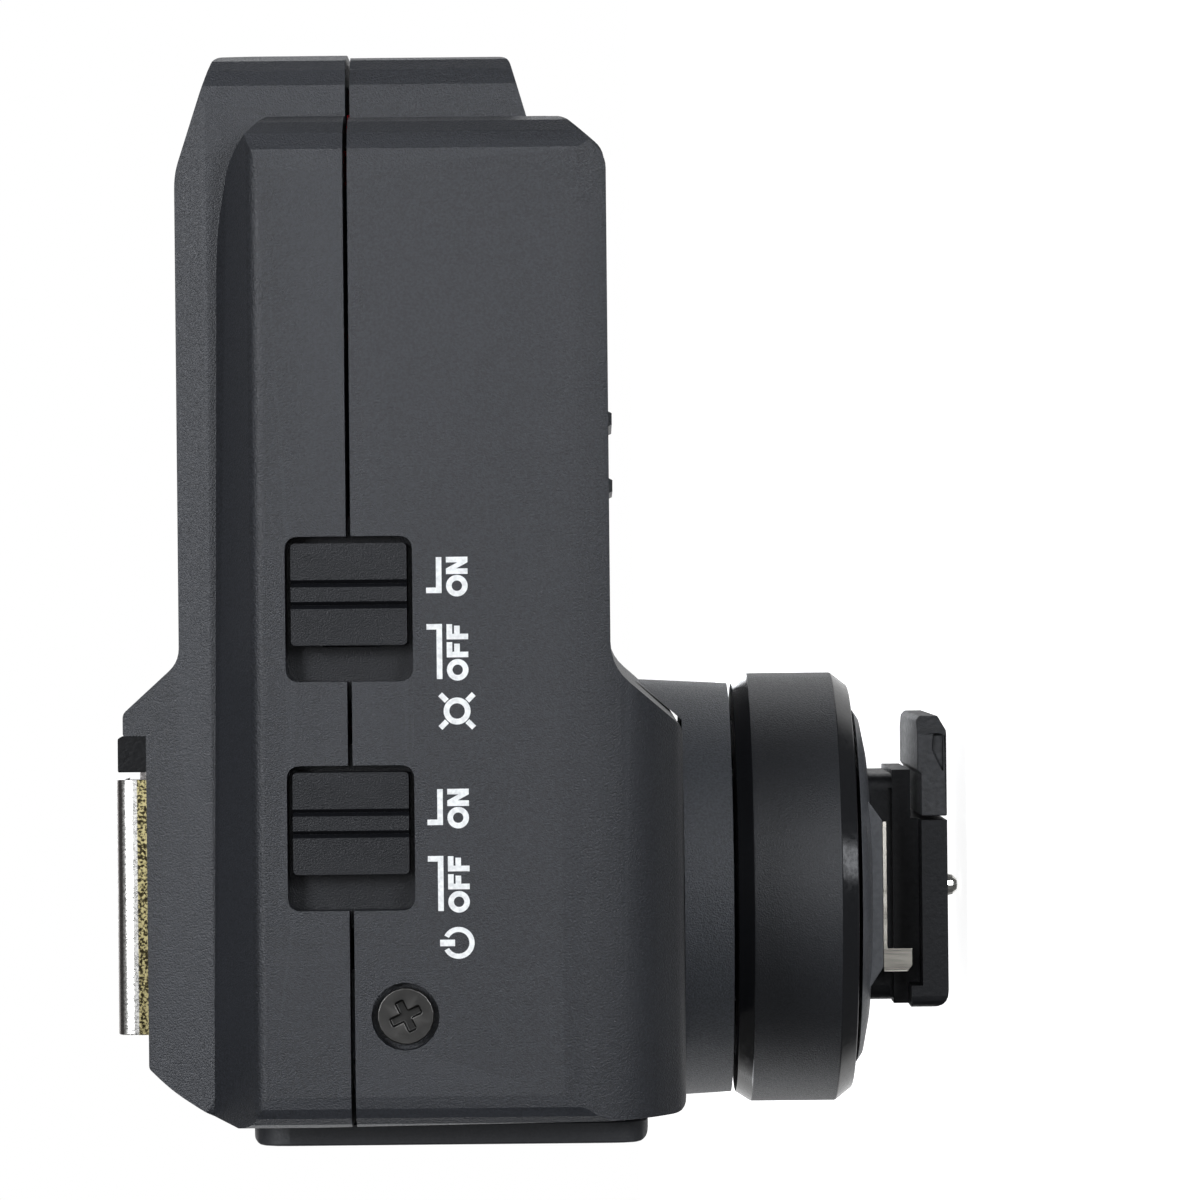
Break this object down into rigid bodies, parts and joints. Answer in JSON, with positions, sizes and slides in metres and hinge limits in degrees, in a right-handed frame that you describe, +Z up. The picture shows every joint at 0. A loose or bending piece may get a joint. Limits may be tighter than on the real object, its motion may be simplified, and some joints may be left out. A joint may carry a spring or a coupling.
{
  "type": "wireless flash trigger",
  "caption": "Radio flash trigger for a camera hot shoe: locking foot below, flash shoe on top, control face with display, dial and keys, side slide switches.",
  "frame": {"origin": "centre of the foot plate's underside, the face that lies on the floor of the camera's hot shoe", "axes": "+Z up out of the camera's hot shoe, +Y towards the subject, +X the side with the two slide switches"},
  "size_m": [0.07, 0.0723, 0.0596],
  "materials": {
    "casing": "fine spark-eroded grain, charcoal black",
    "smooth_panel": "smooth satin black",
    "ring_plastic": "fine matte band with polished chamfers",
    "foot_plastic": "glass-filled nylon, slightly rough",
    "knob_plastic": "satin black",
    "button_rubber": "matte silicone rubber",
    "bright_steel": "bright nickel-plated spring steel, lightly drawn",
    "spring_steel": "nickel-plated",
    "gold_contact": "gold-plated contact",
    "black_screw": "black oxide, worn edges",
    "display_window": "clear hard-coated pane",
    "display_module": "unlit reflective liquid-crystal panel",
    "red_window": "deep red transparent filter",
    "clear_lamp": "frosted light pipe",
    "inner_black": "plain moulded black",
    "circuit_board": "green solder mask",
    "cell_jacket": "plain printed jacket, satin"
  },
  "bodies": {
    "housing": {"top_shell": "casing", "bottom_shell": "casing", "rear_panel": "smooth_panel", "status_lamp": "clear_lamp", "assist_lamp_window": "red_window", "assist_lamp_led": "red_window", "foot": "foot_plastic", "foot_contact_block": "foot_plastic", "contact_spring": "spring_steel", "neck_collar": "casing", "shoe_rails": "bright_steel", "shoe_base": "foot_plastic", "shoe_contact": "gold_contact", "shoe_screw_1": "black_screw", "shoe_screw_2": "black_screw", "case_screw_1": "black_screw", "case_screw_2": "black_screw", "case_screw_3": "black_screw", "case_screw_4": "black_screw", "side_screw_right": "black_screw", "side_screw_left": "black_screw", "power_switch_floor": "knob_plastic", "power_switch_body": "inner_black", "assist_switch_floor": "knob_plastic", "assist_switch_body": "inner_black", "display_window": "display_window", "display_module": "display_module", "key_mat": "button_rubber", "main_board": "circuit_board", "radio_module": "bright_steel", "encoder_body": "inner_black", "usb_port": "bright_steel", "sync_jack": "inner_black", "battery_tray": "inner_black", "battery_cell_rear": "cell_jacket", "battery_cell_front": "cell_jacket", "battery_terminal_negative": "spring_steel", "battery_terminal_positive": "spring_steel", "battery_link": "spring_steel"},
    "lock_ring": {"lock_ring": "ring_plastic", "cam_sleeve": "foot_plastic"},
    "clamp": {"clamp_disc": "foot_plastic", "clamp_plate_right": "bright_steel", "clamp_plate_left": "bright_steel"},
    "contact_pin": {"centre_contact_pin": "bright_steel"},
    "power_knob": {"power_switch_knob": "knob_plastic"},
    "assist_knob": {"assist_switch_knob": "knob_plastic"},
    "dial": {"selector_dial": "knob_plastic"},
    "set_key": {"set_button": "button_rubber"},
    "test_key": {"test_button": "button_rubber"},
    "door": {"battery_door": "casing"},
    "group_key_1": {"group_button_1": "button_rubber"},
    "group_key_2": {"group_button_2": "button_rubber"},
    "group_key_3": {"group_button_3": "button_rubber"},
    "group_key_4": {"group_button_4": "button_rubber"},
    "group_key_5": {"group_button_5": "button_rubber"},
    "function_key_1": {"function_button_1": "button_rubber"},
    "function_key_2": {"function_button_2": "button_rubber"},
    "function_key_3": {"function_button_3": "button_rubber"},
    "function_key_4": {"function_button_4": "button_rubber"}
  },
  "joints": [
    {"name": "lock_ring_turn", "type": "hinge", "parent": "housing", "child": "lock_ring", "pos_m": [0, -0.0022, 0.0107], "axis": [0, 0, 1], "range_deg": [0, 90]},
    {"name": "clamp_travel", "type": "slide", "parent": "housing", "child": "clamp", "axis": [0, 0, -1], "range_m": [0, 0.00055]},
    {"name": "contact_pin_travel", "type": "slide", "parent": "housing", "child": "contact_pin", "axis": [0, 0, 1], "range_m": [0, 0.0011], "stiffness_N_per_m": 300, "springref_m": -0.001, "deforming": ["contact_spring"]},
    {"name": "power_switch_slide", "type": "slide", "parent": "housing", "child": "power_knob", "axis": [0, -1, 0], "range_m": [0, 0.0019]},
    {"name": "assist_switch_slide", "type": "slide", "parent": "housing", "child": "assist_knob", "axis": [0, -1, 0], "range_m": [0, 0.0019]},
    {"name": "selector_dial_turn", "type": "hinge", "parent": "housing", "child": "dial", "pos_m": [0.022, 0.0338, 0.05], "axis": [0, 0, 1], "continuous": true},
    {"name": "battery_door_slide", "type": "slide", "parent": "housing", "child": "door", "axis": [0, 1, 0], "range_m": [0, 0.034]},
    {"name": "set_button_press", "type": "slide", "parent": "housing", "child": "set_key", "axis": [0, 0, -1], "range_m": [0, 0.00035], "stiffness_N_per_m": 300, "springref_m": -0.0005},
    {"name": "test_button_press", "type": "slide", "parent": "housing", "child": "test_key", "axis": [0, 1, 0], "range_m": [0, 0.0004], "stiffness_N_per_m": 300, "springref_m": -0.0005},
    {"name": "group_button_1_press", "type": "slide", "parent": "housing", "child": "group_key_1", "axis": [0, 0, -1], "range_m": [0, 0.0004], "stiffness_N_per_m": 300, "springref_m": -0.0005},
    {"name": "group_button_2_press", "type": "slide", "parent": "housing", "child": "group_key_2", "axis": [0, 0, -1], "range_m": [0, 0.0004], "stiffness_N_per_m": 300, "springref_m": -0.0005},
    {"name": "group_button_3_press", "type": "slide", "parent": "housing", "child": "group_key_3", "axis": [0, 0, -1], "range_m": [0, 0.0004], "stiffness_N_per_m": 300, "springref_m": -0.0005},
    {"name": "group_button_4_press", "type": "slide", "parent": "housing", "child": "group_key_4", "axis": [0, 0, -1], "range_m": [0, 0.0004], "stiffness_N_per_m": 300, "springref_m": -0.0005},
    {"name": "group_button_5_press", "type": "slide", "parent": "housing", "child": "group_key_5", "axis": [0, 0, -1], "range_m": [0, 0.0004], "stiffness_N_per_m": 300, "springref_m": -0.0005},
    {"name": "function_button_1_press", "type": "slide", "parent": "housing", "child": "function_key_1", "axis": [0, 0, -1], "range_m": [0, 0.0004], "stiffness_N_per_m": 300, "springref_m": -0.0005},
    {"name": "function_button_2_press", "type": "slide", "parent": "housing", "child": "function_key_2", "axis": [0, 0, -1], "range_m": [0, 0.0004], "stiffness_N_per_m": 300, "springref_m": -0.0005},
    {"name": "function_button_3_press", "type": "slide", "parent": "housing", "child": "function_key_3", "axis": [0, 0, -1], "range_m": [0, 0.0004], "stiffness_N_per_m": 300, "springref_m": -0.0005},
    {"name": "function_button_4_press", "type": "slide", "parent": "housing", "child": "function_key_4", "axis": [0, 0, -1], "range_m": [0, 0.0004], "stiffness_N_per_m": 300, "springref_m": -0.0005}
  ],
  "couplings": [
    {"joint": "clamp_travel", "follows": "lock_ring_turn", "m_per_rad": 0.00031831}
  ]
}
